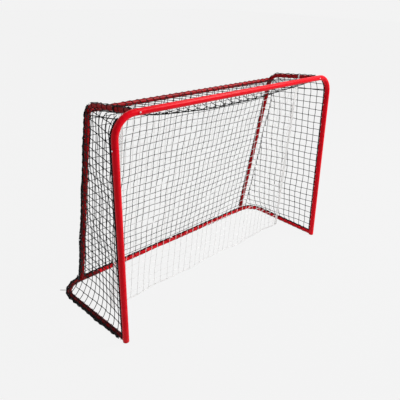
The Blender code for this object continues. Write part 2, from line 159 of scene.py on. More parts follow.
class GoalNetSettings(bpy.types.PropertyGroup):
    mesh: bpy.props.FloatProperty(
        name="Mesh", description="Length of one side of a square of the net", default=0.045, unit="LENGTH")
    twine: bpy.props.FloatProperty(
        name="Twine", description="Thickness of the black net's twine", default=0.0033, unit="LENGTH")
    white_twine: bpy.props.FloatProperty(
        name="White twine", description="Thickness of the drop net's twine", default=0.0022, unit="LENGTH")
    lacing: bpy.props.FloatProperty(
        name="Lacing", description="Thickness of the cord that laces the net to the tubes", default=0.0026,
        unit="LENGTH")
    lacing_pitch: bpy.props.FloatProperty(
        name="Lacing pitch", description="Distance between turns of the lacing", default=0.045, unit="LENGTH")
    black: bpy.props.FloatVectorProperty(
        name="Black", description="Colour of the black twine", default=(0.010, 0.010, 0.011), subtype="COLOR")
    white: bpy.props.FloatVectorProperty(
        name="White", description="Colour of the drop net's twine", default=(0.78, 0.78, 0.77), subtype="COLOR")


class GoalPaintSettings(bpy.types.PropertyGroup):
    red: bpy.props.FloatVectorProperty(
        name="Red", description="Colour of the tubes' powder coat", default=(0.68, 0.0006, 0.010), subtype="COLOR")
    deep_red: bpy.props.FloatVectorProperty(
        name="Deep red", description="Colour of the powder coat where it lies thicker", default=(0.54, 0.0005, 0.006),
        subtype="COLOR")
    # Painted shade: the rear top bar and the left hoop are painted this deeper red than the front frame, for the shade
    # on them
    painted_shade_rear_red: bpy.props.FloatVectorProperty(
        name="Rear red with painted shade", description="Colour of the thin tubes' powder coat", default=(0.30, 0.0004, 0.003),
        subtype="COLOR")
    # Painted shade: the left base bar is painted the darkest red, for the shade on it
    painted_shade_left_base_red: bpy.props.FloatVectorProperty(
        name="Base red with painted shade", description="Colour of the left base bar, the darkest of the tubes",
        default=(0.15, 0.0003, 0.002), subtype="COLOR")
    steel: bpy.props.FloatVectorProperty(
        name="Steel", description="Colour of the snap buttons and their springs", default=(0.62, 0.62, 0.64),
        subtype="COLOR")
    bead: bpy.props.FloatProperty(
        name="Weld bead", description="Thickness of the welds between tubes", default=0.0036, unit="LENGTH")


class GoalStageSettings(bpy.types.PropertyGroup):
    backdrop: bpy.props.FloatProperty(
        name="Backdrop", description="Grey level of the floor and the backdrop as the camera sees them",
        default=0.896)
    key: bpy.props.FloatProperty(name="Key light", description="Power of the key light in watts", default=420.0)
    fill: bpy.props.FloatProperty(name="Fill", description="Strength of the light from all round", default=0.40)


# Shapes


def normalised(vectors):
    return vectors / np.maximum(np.linalg.norm(vectors, axis=-1, keepdims=True), 1e-9)


def tube_skins(paths, radius, sides, reference, closed=False):
    """Round skins along a path, or along several of equal point count: point = centre + r (cos t side + sin t over).

    side is the reference direction made square to the path, and over = forward x side. Open ends get a flat cap.
    Returns the points, the faces, and for each point its length along the path with cos t and sin t.
    """
    paths = np.asarray(paths, float)
    paths = paths.reshape(-1, *paths.shape[-2:])
    if closed:
        forward = normalised(np.roll(paths, -1, axis=1) - np.roll(paths, 1, axis=1))
    else:
        forward = normalised(np.gradient(paths, axis=1))
    side = np.broadcast_to(np.asarray(reference, float), paths.shape)
    side = normalised(side - forward * np.sum(side * forward, axis=-1, keepdims=True))
    over = np.cross(forward, side)
    turn = np.arange(sides) * 2 * np.pi / sides
    cosine, sine = np.cos(turn)[None, None, :, None], np.sin(turn)[None, None, :, None]
    thick = np.broadcast_to(np.asarray(radius, float), paths.shape[:2])[..., None, None]
    points = paths[:, :, None] + thick * (cosine * side[:, :, None] + sine * over[:, :, None])
    strands, steps = paths.shape[:2]
    index = np.arange(strands * steps * sides).reshape(strands, steps, sides)
    following = np.roll(index, -1, axis=1) if closed else index[:, 1:]
    current = index if closed else index[:, :-1]
    quads = np.stack([current, np.roll(current, -1, axis=2), np.roll(following, -1, axis=2), following], axis=-1)
    faces = quads.reshape(-1, 4).tolist()
    if not closed:
        faces += index[:, 0, ::-1].tolist() + index[:, -1].tolist()
    pieces = np.linalg.norm(np.diff(paths, axis=1, prepend=paths[:, :1]), axis=2)
    along = np.broadcast_to(np.cumsum(pieces, axis=1)[..., None], (strands, steps, sides))
    lay = np.stack([along, np.broadcast_to(np.cos(turn), along.shape), np.broadcast_to(np.sin(turn), along.shape)],
                   axis=-1)
    return points.reshape(-1, 3), faces, lay.reshape(-1, 3)


def knot_blobs(centres, radius):
    """A small round knot at each centre: rings at 45, 90 and 135 degrees from its pole, and two poles."""
    centres = np.asarray(centres, float)
    polar = np.array([45.0, 90.0, 135.0]) * np.pi / 180
    turn = np.arange(6) * np.pi / 3
    rings = np.stack([np.outer(np.sin(polar), np.cos(turn)), np.outer(np.sin(polar), np.sin(turn)),
                      np.outer(np.cos(polar), np.ones(6))], axis=-1).reshape(-1, 3)
    ball = np.vstack([rings, [[0, 0, 1], [0, 0, -1]]])
    k = np.arange(6)
    after = (k + 1) % 6
    pole = np.stack([np.full(6, 18), k, after], axis=1).tolist()
    pole += np.stack([np.full(6, 19), 12 + after, 12 + k], axis=1).tolist()
    belts = np.vstack([np.stack([r + k, r + 6 + k, r + 6 + after, r + after], axis=1) for r in (0, 6)]).tolist()
    points = (centres[:, None] + ball[None] * radius).reshape(-1, 3)
    faces = []
    for face in pole + belts:
        faces += (np.array(face)[None] + 20 * np.arange(len(centres))[:, None]).tolist()
    lay = np.tile([0.0, 1.0, 0.0], (len(points), 1))
    return points, faces, lay


def joined(parts):
    """Several skins as one: the faces of each are moved on by the points before it."""
    points, faces, lays, start = [], [], [], 0
    for part_points, part_faces, part_lay in parts:
        points.append(part_points)
        faces += [[i + start for i in face] for face in part_faces]
        lays.append(part_lay)
        start += len(part_points)
    return np.vstack(points), faces, np.vstack(lays)


def new_piece(name, skin, material, body, replaced=()):
    points, faces, lay = skin
    mesh = bpy.data.meshes.new(name)
    mesh.from_pydata(points.tolist(), [], faces)
    attribute = mesh.attributes.new("lay", "FLOAT_VECTOR", "POINT")
    attribute.data.foreach_set("vector", np.ascontiguousarray(lay, np.float32).ravel())
    mesh.polygons.foreach_set("use_smooth", np.ones(len(mesh.polygons), bool))
    mesh.update()
    piece = bpy.data.objects.new(name, mesh)
    bpy.context.scene.collection.objects.link(piece)
    piece.data.materials.append(material)
    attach(piece, body)
    if replaced:
        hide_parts(*replaced)
    return piece


def dark_piece(name, skins, *replaced, finish="cord"):
    """A piece of black twine or cord that rides on the frame."""
    return new_piece(name, joined(skins), FINISHES[finish], "frame", replaced)


def resampled(points, spacing):
    """Points a given distance apart along a line of points."""
    points = np.asarray(points, float)
    length = np.concatenate([[0], np.cumsum(np.linalg.norm(np.diff(points, axis=0), axis=1))])
    stations = np.linspace(0, length[-1], max(2, int(round(length[-1] / spacing)) + 1))
    return np.stack([np.interp(stations, length, points[:, i]) for i in range(3)], axis=1)


def rounded(corners, radius, steps=12):
    """A line through corners, where each inner one is replaced by a round bend of that radius."""
    corners = [np.array(c, float) for c in corners]
    line = [corners[0]]
    for before, corner, after in zip(corners, corners[1:], corners[2:]):
        back, ahead = normalised(before - corner), normalised(after - corner)
        half = np.arccos(np.clip(back @ ahead, -1, 1)) / 2
        centre = corner + normalised(back + ahead) * radius / math.sin(half)
        start = corner + back * radius / math.tan(half) - centre
        end = corner + ahead * radius / math.tan(half) - centre
        sweep = math.pi - 2 * half
        share = np.linspace(0, 1, steps + 1)[:, None]
        line += list(centre + (np.sin((1 - share) * sweep) * start + np.sin(share * sweep) * end) / math.sin(sweep))
    line.append(corners[-1])
    return np.array(line)


def hoop_line(side):
    """Centre line of a rear upright and its top side bar."""
    x = side * HOOP_X
    return rounded([(x, BASE_Y, REAR_R), (x, HOOP_CORNER_Y, HOOP_CORNER_Z), (x, FRONT_Y, BAR_Z)], HOOP_BEND_RADIUS)


def base_line(side):
    """Centre line of a base bar, from the post back to the rear corner and in to the middle."""
    return rounded([(side * POST_X, FRONT_Y, REAR_R), (side * CORNER_X, BASE_Y, REAR_R), (0, BASE_Y, REAR_R)],
                   BASE_BEND_RADIUS)


HOOP = hoop_line(1)


def upright_y(z):
    """The rear uprights' place at a height, round their bend too."""
    return np.interp(z, HOOP[:, 2], HOOP[:, 1])


def side_bar_z(y):
    """Height of the top side bars' centre line at a place."""
    return BAR_Z + (HOOP_CORNER_Z - BAR_Z) * (y - FRONT_Y) / HOOP_CORNER_DEPTH


def along_line(line, spacing, reference):
    """A line's points, the directions square to it (side, and over = forward x side) and its lengths."""
    centre = resampled(line, spacing)
    forward = normalised(np.gradient(centre, axis=0))
    reference = np.asarray(reference, float)
    side = normalised(reference - forward * (forward @ reference)[:, None])
    length = np.concatenate([[0], np.cumsum(np.linalg.norm(np.diff(centre, axis=0), axis=1))])
    return centre, side, np.cross(forward, side), length


def wound(line, coil_radius, pitch, reference, hand=1, wobble=0.0, seed=1, start=0.0):
    """A helix round a line: centre + R (cos t side + sin t over), where t grows by a turn every pitch."""
    centre, side, over, length = along_line(line, pitch / 14, reference)
    rng = np.random.default_rng(seed)
    phases = rng.uniform(0, 2 * np.pi, 4)
    uneven = sum(np.sin(length * (19 + 23 * i) + phases[i]) for i in range(4)) * wobble
    turn = start + hand * (2 * np.pi * length / pitch + uneven)
    radial = np.cos(turn)[:, None] * side + np.sin(turn)[:, None] * over
    return off_floor(centre + coil_radius * radial), radial


def off_floor(path):
    """A path lifted where it would dip into the floor."""
    path[:, 2] = np.maximum(path[:, 2], FLOOR_CLEAR)
    return path


def bunched(line, reference, facing, strands, twine, seed, reach=0.0045, fan=0.75):
    """A net's gathered edge on one side of a tube: strands that wander round an angle, close to the skin.

    Strand i: centre + r (cos t side + sin t over), with t = facing + slow waves and r = the tube + waves of reach.
    The facing holds shares of the line's length and the angle in degrees at each.
    """
    centre, side, over, length = along_line(line, 0.006, reference)
    middle = np.radians(np.interp(length / length[-1], *facing))
    rng = np.random.default_rng(seed)
    skins = []
    for strand in range(strands):
        phase = rng.uniform(0, 2 * np.pi, 3)
        home = middle + fan * (strand / max(1, strands - 1) - 0.5) * 2
        turn = home + 0.22 * np.sin(length * 61 + phase[0]) + 0.16 * np.sin(length * 138 + phase[1])
        out = REAR_R + twine * 0.6 + reach * (0.5 + 0.5 * np.sin(length * 139.6 + phase[2])) * rng.uniform(0.3, 1.0)
        radial = np.cos(turn)[:, None] * side + np.sin(turn)[:, None] * over
        skins.append(tube_skins(off_floor(centre + out[:, None] * radial), twine / 2, 5, radial))
    return skins


def laced(line, reference, facing, nets, seed, strands=3, fan=0.4, hands=(1,), reach=0.0045):
    """A net's gathered edge on one side of a tube, and the lacing that winds round both."""
    skins = bunched(line, reference, facing, strands, nets.twine, seed, reach, fan)
    for hand in hands:
        path, radial = wound(line, REAR_R + nets.lacing * 0.62, nets.lacing_pitch, reference, hand, 0.12, seed + hand)
        skins.append(tube_skins(path, nets.lacing / 2, 6, radial))
    return skins


# Materials


def group_of_nodes(name, inputs, outputs):
    group = bpy.data.node_groups.new(name, "ShaderNodeTree")
    for label, default in inputs:
        socket = group.interface.new_socket(name=label, in_out="INPUT", socket_type="NodeSocketFloat")
        socket.default_value = default
    for label in outputs:
        group.interface.new_socket(name=label, in_out="OUTPUT", socket_type="NodeSocketFloat")
    entry = group.nodes.new("NodeGroupInput")
    leave = group.nodes.new("NodeGroupOutput")
    return group, entry, leave


def feed(tree, value, socket):
    """Gives an input its value: another node's output, a number or a colour."""
    if isinstance(value, bpy.types.NodeSocket):
        tree.links.new(value, socket)
    else:
        socket.default_value = (*value, 1.0) if isinstance(value, tuple) else value


def maths(tree, operation, *values, clamp=False):
    node = tree.nodes.new("ShaderNodeMath")
    node.operation = operation
    node.use_clamp = clamp
    for socket, value in zip(node.inputs, values):
        feed(tree, value, socket)
    return node.outputs[0]


def object_noise(tree, scale, detail):
    """Noise on object coordinates."""
    place = tree.nodes.new("ShaderNodeTexCoord")
    noise = tree.nodes.new("ShaderNodeTexNoise")
    noise.inputs["Detail"].default_value = detail
    tree.links.new(place.outputs["Object"], noise.inputs["Vector"])
    feed(tree, scale, noise.inputs["Scale"])
    return noise.outputs["Fac"]


def peel_group():
    """Speckle and orange peel of a sprayed or moulded surface, from noise on object coordinates."""
    group, entry, leave = group_of_nodes("Peel and Speckle", [("Cloud Scale", 9.0), ("Peel Scale", 420.0)],
                                         ["Cloud", "Height"])
    for scale, detail, label in (("Cloud Scale", 4.0, "Cloud"), ("Peel Scale", 2.0, "Height")):
        group.links.new(object_noise(group, entry.outputs[scale], detail), leave.inputs[label])
    return group


def floor_dust_group():
    """Dust and scuffs near the floor: noise, strongest at height 0 and gone at the given height."""
    group, entry, leave = group_of_nodes("Floor Dust", [("Reach", 0.12), ("Amount", 0.5)], ["Dust"])
    place = group.nodes.new("ShaderNodeTexCoord")
    parts = group.nodes.new("ShaderNodeSeparateXYZ")
    group.links.new(place.outputs["Object"], parts.inputs[0])
    height = maths(group, "DIVIDE", parts.outputs["Z"], entry.outputs["Reach"])
    near = maths(group, "SUBTRACT", 1.0, height, clamp=True)
    noise = object_noise(group, 38.0, 6.0)
    spots = maths(group, "MULTIPLY", maths(group, "SUBTRACT", noise, 0.42, clamp=True), 3.0, clamp=True)
    dust = maths(group, "MULTIPLY", maths(group, "MULTIPLY", near, spots), entry.outputs["Amount"])
    group.links.new(dust, leave.inputs["Dust"])
    return group


def twine_group():
    """The twist of a laid twine: sin(2 pi length / pitch + 3 t), from the piece's own lay attribute.

    The attribute holds length, cos t and sin t, so that sin(a + t) = sin a cos t + cos a sin t has no seam.
    """
    group, entry, leave = group_of_nodes("Twine Lay", [("Pitch", 0.004), ("Fuzz Scale", 900.0)], ["Height", "Shade"])
    lay = group.nodes.new("ShaderNodeAttribute")
    lay.attribute_name = "lay"
    parts = group.nodes.new("ShaderNodeSeparateXYZ")
    group.links.new(lay.outputs["Vector"], parts.inputs[0])
    angle = maths(group, "MULTIPLY", maths(group, "DIVIDE", parts.outputs["X"], entry.outputs["Pitch"]), 2 * math.pi)
    first = maths(group, "MULTIPLY", maths(group, "SINE", angle), parts.outputs["Y"])
    second = maths(group, "MULTIPLY", maths(group, "COSINE", angle), parts.outputs["Z"])
    strand = maths(group, "ABSOLUTE", maths(group, "ADD", first, second))
    fuzz = object_noise(group, entry.outputs["Fuzz Scale"], 3.0)
    group.links.new(maths(group, "ADD", strand, maths(group, "MULTIPLY", fuzz, 0.5)), leave.inputs["Height"])
    # Shade: painted shade in the twist's grooves and painted highlight on its crowns, broken up by the fuzz
    group.links.new(maths(group, "MULTIPLY", strand, fuzz), leave.inputs["Shade"])
    return group


def add_group(tree, group, **values):
    node = tree.nodes.new("ShaderNodeGroup")
    node.node_tree = group
    for label, value in values.items():
        node.inputs[label.replace("_", " ")].default_value = value
    return node


def bumped(tree, shader, height, distance, strength):
    bump = tree.nodes.new("ShaderNodeBump")
    bump.inputs["Distance"].default_value = distance
    bump.inputs["Strength"].default_value = strength
    tree.links.new(height, bump.inputs["Height"])
    tree.links.new(bump.outputs["Normal"], shader.inputs["Normal"])


def blended(tree, share, first, second):
    mix = tree.nodes.new("ShaderNodeMix")
    mix.data_type = "RGBA"
    tree.links.new(share, mix.inputs["Factor"])
    feed(tree, first, mix.inputs["A"])
    feed(tree, second, mix.inputs["B"])
    return mix.outputs["Result"]


def spread(tree, value, low, high):
    node = tree.nodes.new("ShaderNodeMapRange")
    node.inputs["To Min"].default_value = low
    node.inputs["To Max"].default_value = high
    node.inputs["From Min"].default_value = 0.3
    node.inputs["From Max"].default_value = 0.7
    tree.links.new(value, node.inputs["Value"])
    return node.outputs["Result"]


def new_material(name, **values):
    material = bpy.data.materials.new(name)
    material.use_nodes = True
    tree = material.node_tree
    shader = tree.nodes["Principled BSDF"]
    for label, value in values.items():
        shader.inputs[label.replace("_", " ")].default_value = value
    return material, tree, shader


GROUPS = {}
FINISHES = {}


def red_paint(name, colour, deep, roughness, shine=0.07):
    """Glossy powder coat: cloudy depth of colour, orange peel, and dust where the tube stands near the floor."""
    material, tree, shader = new_material(name, Specular_IOR_Level=shine)
    peel = add_group(tree, GROUPS["peel"], Cloud_Scale=7.0, Peel_Scale=520.0)
    dust = add_group(tree, GROUPS["dust"], Reach=0.10, Amount=0.10)
    coat = blended(tree, spread(tree, peel.outputs["Cloud"], 0.0, 1.0), deep, colour)
    tree.links.new(blended(tree, dust.outputs["Dust"], coat, (0.30, 0.22, 0.20)), shader.inputs["Base Color"])
    tree.links.new(spread(tree, peel.outputs["Cloud"], roughness, roughness + 0.08), shader.inputs["Roughness"])
    bumped(tree, shader, peel.outputs["Height"], 0.0002, 0.25)
    return material


def plain_finish(name, colour, spread_to, metallic, low, high, grain, depth):
    """Moulded plastic or plated steel: a cloudy colour, varied roughness and a fine grain."""
    material, tree, shader = new_material(name, Metallic=metallic)
    peel = add_group(tree, GROUPS["peel"], Cloud_Scale=60.0, Peel_Scale=grain)
    tree.links.new(blended(tree, spread(tree, peel.outputs["Cloud"], 0.0, 1.0), colour, spread_to),
                   shader.inputs["Base Color"])
    tree.links.new(spread(tree, peel.outputs["Cloud"], low, high), shader.inputs["Roughness"])
    bumped(tree, shader, peel.outputs["Height"], depth, 0.4)
    return material


def twine_finish(name, colour, bright, pitch):
    """Laid twine: twisted strands in relief, their crowns painted a little brighter than the grooves, a painted
    highlight and painted shade broken up by fuzz.
    """
    material, tree, shader = new_material(name, Roughness=0.78, Specular_IOR_Level=0.12)
    twine = add_group(tree, GROUPS["twine"], Pitch=pitch, Fuzz_Scale=1400.0)
    tree.links.new(blended(tree, spread(tree, twine.outputs["Shade"], 0.0, 1.0), colour, bright),
                   shader.inputs["Base Color"])
    bumped(tree, shader, twine.outputs["Height"], 0.0004, 0.8)
    return material


def shaded(colour, factor):
    """A colour made darker or brighter by a factor."""
    return tuple(min(1.0, part * factor) for part in colour)


def make_finishes(paint, nets):
    GROUPS.update(peel=peel_group(), dust=floor_dust_group(), twine=twine_group())
    rear, base = tuple(paint.painted_shade_rear_red), tuple(paint.painted_shade_left_base_red)
    black, white = tuple(nets.black), tuple(nets.white)
    cap, steel, spring = (0.42, 0.006, 0.010), tuple(paint.steel), (0.42, 0.42, 0.45)
    FINISHES.update({
        "paint": red_paint("red_powder_coat", tuple(paint.red), tuple(paint.deep_red), 0.24),
        # Painted shade: a deeper red for the shade on the rear top bar and the left hoop
        "painted_shade_rear_paint": red_paint("red_powder_coat_rear_painted_shade", rear, shaded(rear, 0.75), 0.28, 0.05),
        # Painted shade: the darkest red, for the shade on the left base bar
        "painted_shade_left_base_paint": red_paint("red_powder_coat_darkest_painted_shade", base, shaded(base, 0.75), 0.32, 0.04),
        # Painted shade: a red between the rear red and the front red, for the shade on the right hoop; the weld beads
        # have this colour too
        "weld": red_paint("red_powder_coat_half_painted_shade", shaded(rear, 1.5), rear, 0.30, 0.08),
        "cap": plain_finish("red_foot_cap", cap, (0.34, 0.005, 0.008), 0.0, 0.45, 0.6, 900.0, 0.0003),
        "steel": plain_finish("plated_steel", steel, (0.5, 0.5, 0.52), 1.0, 0.2, 0.34, 1500.0, 0.0001),
        "spring": plain_finish("spring_steel", spring, (0.32, 0.32, 0.36), 1.0, 0.3, 0.42, 1500.0, 0.0001),
        # The second colour of each twine is the painted highlight on its crowns
        "black": twine_finish("black_net_twine", black, shaded(black, 2.6), 0.0044),
        "cord": twine_finish("black_lacing_cord", shaded(black, 0.7), shaded(black, 2.0), 0.006),
        "white": twine_finish("white_net_twine", white, shaded(white, 1.06), 0.004),
        "hem": twine_finish("white_hem_rope", shaded(white, 0.89), shaded(white, 0.95), 0.006),
    })


# Nets


def ripple(points, amount, directions, calm=None):
    """A net's slack: each direction gets a sum of slow sine waves over the place, up to the amount.

    Where calm is given, it is the share of the waves that a point gets, down to none at a held edge.
    """
    x, y, z = points[..., 0], points[..., 1], points[..., 2]
    moved = points.copy()
    for i, direction in enumerate(directions):
        wave = (np.sin(7.1 * x + 9.3 * z + 1.7 * i) * np.sin(11.3 * z - 6.7 * y + 0.9 * i)
                + 0.6 * np.sin(17.9 * x + 5.1 * y + 2.3 * i) * np.sin(15.7 * z + 1.3 * i))
        moved += amount * wave[..., None] * np.asarray(direction, float)
    return moved if calm is None else points + (moved - points) * calm[..., None]


def square_net(first, second, first_range, second_range, surface, normal, twine, mesh, seed):
    """A knotted square net: strands of constant first or second coordinate, laid on surface(first, second).

    first_range(b) and second_range(a) give where each strand starts and ends. Between knots a strand bows a little,
    by bow x sin(pi x its share of the mesh side).
    """
    rng = np.random.default_rng(seed)
    skins = []
    for lead, limits, swap in ((first, second_range, False), (second, first_range, True)):
        low, high = limits(lead)
        count = int(np.ceil((high - low).max() / mesh)) * STRAND_STEPS + 1
        share = np.linspace(0, 1, count)
        run = low[:, None] + (high - low)[:, None] * share[None]
        start = second[0] if not swap else first[0]
        cell = (run - start) / mesh
        bow = rng.normal(0, 0.0011, (len(lead), int(cell.max()) + 3))
        bar = np.clip(np.floor(cell).astype(int) + 1, 0, bow.shape[1] - 1)
        bend = np.take_along_axis(bow, bar, axis=1) * np.sin(np.pi * (cell % 1.0))
        held = lead[:, None] + bend
        paths = surface(run, held) if swap else surface(held, run)
        skins.append(tube_skins(paths, twine / 2, 5, normal))
    a, b = np.meshgrid(first, second, indexing="ij")
    low, high = second_range(first)
    inside = (b >= low[:, None] - 1e-6) & (b <= high[:, None] + 1e-6)
    low, high = first_range(second)
    inside &= (a >= low[None] - 1e-6) & (a <= high[None] + 1e-6)
    skins.append(knot_blobs(surface(a[inside], b[inside]), twine * 0.98))
    return joined(skins)


def straight(low, high):
    """The limits of strands that all start at low and end at high."""
    return lambda other: (np.full(len(other), float(low)), np.full(len(other), float(high)))


def across_net(low, high, mesh):
    """Strand places from one edge of a net to the other, in whole squares of about the mesh."""
    return np.linspace(low, high, int(round((high - low) / mesh)) + 1)


def along_net(start, limit, mesh):
    """Strand places a mesh apart, from a start to below a limit."""
    places = start + np.arange(int((limit - start) / mesh) + 2) * mesh
    return places[places < limit]


def drawn_in(z):
    """How far the seam is drawn in to the upright: not below 0.95 m, and all the way at the top."""
    return np.clip((z - 0.95) / 0.15, 0, 1)


def back_surface(a, b):
    """The back net: behind the uprights' line by the tube and the twine, drawn in at its side edges, slack below."""
    stand = np.where(a < 0, SEAM_OUT[-1], SEAM_OUT[1])
    forward = np.where(a < 0, SEAM_FORWARD[-1], SEAM_FORWARD[1])
    edge = np.clip((np.abs(a) - HOOP_X) / (REAR_R + stand), 0, 1)
    slack = np.exp(-b / BACK_SLACK_HEIGHT)
    gathered = BACK_GATHER * slack * np.cos(a * 2.1) * np.sign(-a) * np.clip(np.abs(a) * 2, 0, 1)
    x = a - np.sign(a) * edge * stand * drawn_in(b) + gathered
    z = b - BACK_SAG * slack * np.clip(1 - (a / 0.8) ** 2, 0, 1) * np.clip(b / 0.12, 0, 1)
    y = np.maximum(upright_y(z), TOP_Y) + REAR_R + 0.003 - (REAR_R + forward) * edge**2
    bulge = BACK_BULGE * np.cos(a * 2.0) * np.sin(np.pi * np.clip(b / 1.1, 0, 1))
    points = np.stack([x, y + bulge, z], axis=-1)
    calm = np.clip(b / CALM_EDGE, 0, 1) * np.clip((TOP_Z - b) / CALM_EDGE, 0, 1)
    return ripple(points, NET_RIPPLE, [(1, 0, 0), (0, 0.6, 0), (0, 0, 1)], calm)


def seam_x(side):
    return HOOP_X + REAR_R + SEAM_OUT[side]


def seam_y(side, z):
    """Where the side net's rear edge runs beside the upright, and back at the floor."""
    return upright_y(z) - SEAM_FORWARD[side] * (1 - np.exp(-z / 0.1))


def base_skin(y, out):
    """X and Y of a point off the base bar's centre line by a distance, at a place along it and round its corner."""
    into = np.clip(y - (BASE_Y - BASE_BEND_RADIUS), 0, BASE_BEND_RADIUS * 0.97) / BASE_BEND_RADIUS
    level = np.sqrt(1 - into**2)
    straight = POST_X + SPLAY * np.clip(y - FRONT_Y, 0, BASE_Y - FRONT_Y - BASE_BEND_RADIUS)
    return straight + BASE_BEND_RADIUS * (level - 1) + out * level, y + out * into


def beside_base_bar(side, depth, radius, height):
    """Where something of that radius lies against the outer side of a base bar, at a depth and height."""
    x, y = base_skin(FRONT_Y + np.asarray(depth, float), REAR_R + radius + 0.0006)
    return np.stack([side * x, y, np.broadcast_to(height, np.shape(x))], axis=-1)


def side_surface(side, a, b):
    """A side net at depth a and height b: from the post to the seam, and near the floor out to the base bar.

    b from 0 to WRAP goes round the base bar, from its outer side over its top. From there the net runs in and up by
    x = taut + D exp(-s / F), for a height s over the bar, and u = D / F exp(-s / F) gives z with |(dx, dz)| = ds:
    z = F (g(u) - g(D / F)), where g(u) = ln((1 + sqrt(1 - u^2)) / u) - sqrt(1 - u^2).
    """
    wrap_radius = REAR_R + WRAP_CLEAR
    turn = np.radians(-25 + 115 * np.clip(b / WRAP, 0, 1))
    bar_x, bar_y = base_skin(a, wrap_radius * np.cos(turn))
    bar_z = REAR_R + wrap_radius * np.sin(turn)
    height = np.clip(b - WRAP, 0, None)
    share = np.clip((a - FRONT_Y) / (seam_y(side, b) - FRONT_Y), 0, 1)
    above = np.clip(b - (BAR_Z - FRONT_BEND_RADIUS), 0, FRONT_BEND_RADIUS * 0.97)
    front_x = POST_X - FRONT_BEND_RADIUS + np.sqrt(FRONT_BEND_RADIUS**2 - above**2)
    taut = front_x + (seam_x(side) - SEAM_OUT[side] * drawn_in(b) - front_x) * share
    flare = np.maximum(FLARE_HEIGHT, 1.1 * np.abs(bar_x - taut))
    held = 1 - np.clip(1 - (1 - share) / 0.16, 0, 1) * np.clip(height / 0.03, 0, 1)
    near_floor = np.exp(-height / flare) * held
    x = taut + (bar_x - taut) * near_floor
    first_u = np.clip(np.abs(bar_x - taut) / flare, 1e-3, 0.999)
    rise = flare * (slack_rise(first_u * np.exp(-height / flare)) - slack_rise(first_u))
    rise = height + (rise - height) * np.clip(1.3 - height / 0.8, 0, 1)
    z = bar_z + rise + (WRAP - REAR_R - wrap_radius) * (1 - near_floor)
    points = np.stack([side * x, a + (bar_y - a) * near_floor, z], axis=-1)
    calm = np.clip(height / CALM_EDGE, 0, 1) * np.clip(a - FRONT_Y, 0, CALM_EDGE) * 10
    return ripple(points, NET_RIPPLE, [(1, 0, 0), (0, 1, 0), (0, 0, 1)], calm)


def slack_rise(u):
    root = np.sqrt(1 - u**2)
    return np.log((1 + root) / u) - root


def side_cord(side, y):
    """Height of the cord drawn through a side net: under the top side bar by one drop in front and one behind."""
    front, rear = SELVAGE_DROP[side]
    return side_bar_z(y) - front - (rear - front) * np.clip((y - FRONT_Y) / HOOP_CORNER_DEPTH, 0, 1)


def side_net(side, nets):
    def heights(a):
        """Columns end under the top side bar, or at the seam where that comes first."""
        z = np.linspace(0.0, BAR_Z, 400)
        at_seam = np.interp(-a, -seam_y(side, z), z)
        return np.full(len(a), 0.0), np.maximum(np.minimum(side_bar_z(a) - 0.013, at_seam), WRAP)

    def depths(b):
        return np.full(len(b), NET_FRONT), np.maximum(seam_y(side, b), NET_FRONT + 0.05)

    first = NET_FRONT + np.arange(SIDE_COLUMNS) * nets.mesh
    second = along_net(WRAP, BAR_Z - 0.03, nets.mesh)
    return square_net(first, second, depths, heights, partial(side_surface, side), (1, 0, 0), nets.twine * 1.2,
                      nets.mesh, 11 + side)


def roof_net(nets):
    """A diamond net: strand k zigzags between levels k and k + 1, so that neighbours meet at the knots."""
    pitch = nets.mesh * math.sqrt(2) / 2
    half = HOOP_X + 0.004
    columns = int(round(2 * half / pitch))
    front, rear = FRONT_Y + FRONT_R * 0.7, ROOF_REAR_Y
    rows = int(round((rear - front) / pitch))
    i = np.arange(columns + 1)
    levels = np.arange(rows)[:, None] + ((i[None] + np.arange(rows)[:, None]) % 2)
    stations = np.linspace(0, columns, columns * STRAND_STEPS + 1)
    level = np.array([np.interp(stations, i, row) for row in levels])
    a = -half + 2 * half * np.broadcast_to(stations / columns, level.shape)
    paths = roof_surface(a, front + (rear - front) * level / rows)
    knot_a = -half + 2 * half * np.broadcast_to(i / columns, levels.shape)
    knots = roof_surface(knot_a, front + (rear - front) * levels / rows)
    return [tube_skins(paths, nets.twine * 0.58, 5, (0, 0, 1)), knot_blobs(knots.reshape(-1, 3), nets.twine * 1.1)]


def roof_surface(a, b):
    """The roof net at x = a and y = b: from the rear bar's front to below the crossbar, and slack between them.

    The drop net's line holds it up where it passes over: there the sag is cut by a bell curve of the distance in y.
    """
    share = np.clip((b - FRONT_Y) / (ROOF_REAR_Y - FRONT_Y), 0, 1)
    top = BAR_Z - FRONT_R * 0.6 + (TOP_Z + REAR_R * 0.2 - BAR_Z + FRONT_R * 0.6) * share
    across = np.clip(1 - (a / HOOP_X) ** 2, 0, 1) ** 0.8
    free = 1 - 0.88 * np.exp(-(((b - LINE_Y) / LINE_HOLD_WIDTH) ** 2))
    sag = ROOF_SAG * (1 - 0.15 * np.sin(a * 3.1)) * across * free * np.sin(np.pi * share**0.45)
    points = np.stack([a, b, top - sag], axis=-1)
    return ripple(points, 0.002, [(0, 0, 1), (1, 0, 0)])


# Operators, one for each piece or group of like pieces and one for the stage


class GOAL_OT_finish_tubes(bpy.types.Operator):
    """Paint the tubes, and give the caps, snap buttons and springs their finishes."""

    bl_idname = "goal.finish_tubes"
    bl_label = "Tubes and Fittings"

    def execute(self, context):
        # The right hoop takes the weld finish, a half deep red that is painted shade
        kinds = (("foot_cap", "cap"), ("snap_button", "steel"), ("button_leaf", "spring"),
                 # Painted shade: the rear top bar and the left hoop take the deeper rear red
                 ("rear_top_bar", "painted_shade_rear_paint"), ("side_hoop_left", "painted_shade_rear_paint"), ("side_hoop_right", "weld"),
                 # Painted shade: the left base bar takes the darkest red
                 ("base_bar_left", "painted_shade_left_base_paint"), ("base_", "paint"), ("post_left", "paint"), ("post_right", "paint"),
                 ("corner_elbow", "paint"), ("crossbar", "paint"))
        for name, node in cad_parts.items():
            finish = next((kind for start, kind in kinds if name.startswith(start)), None)
            if finish:
                node.data.materials.clear()
                node.data.materials.append(FINISHES[finish])
        return {"FINISHED"}


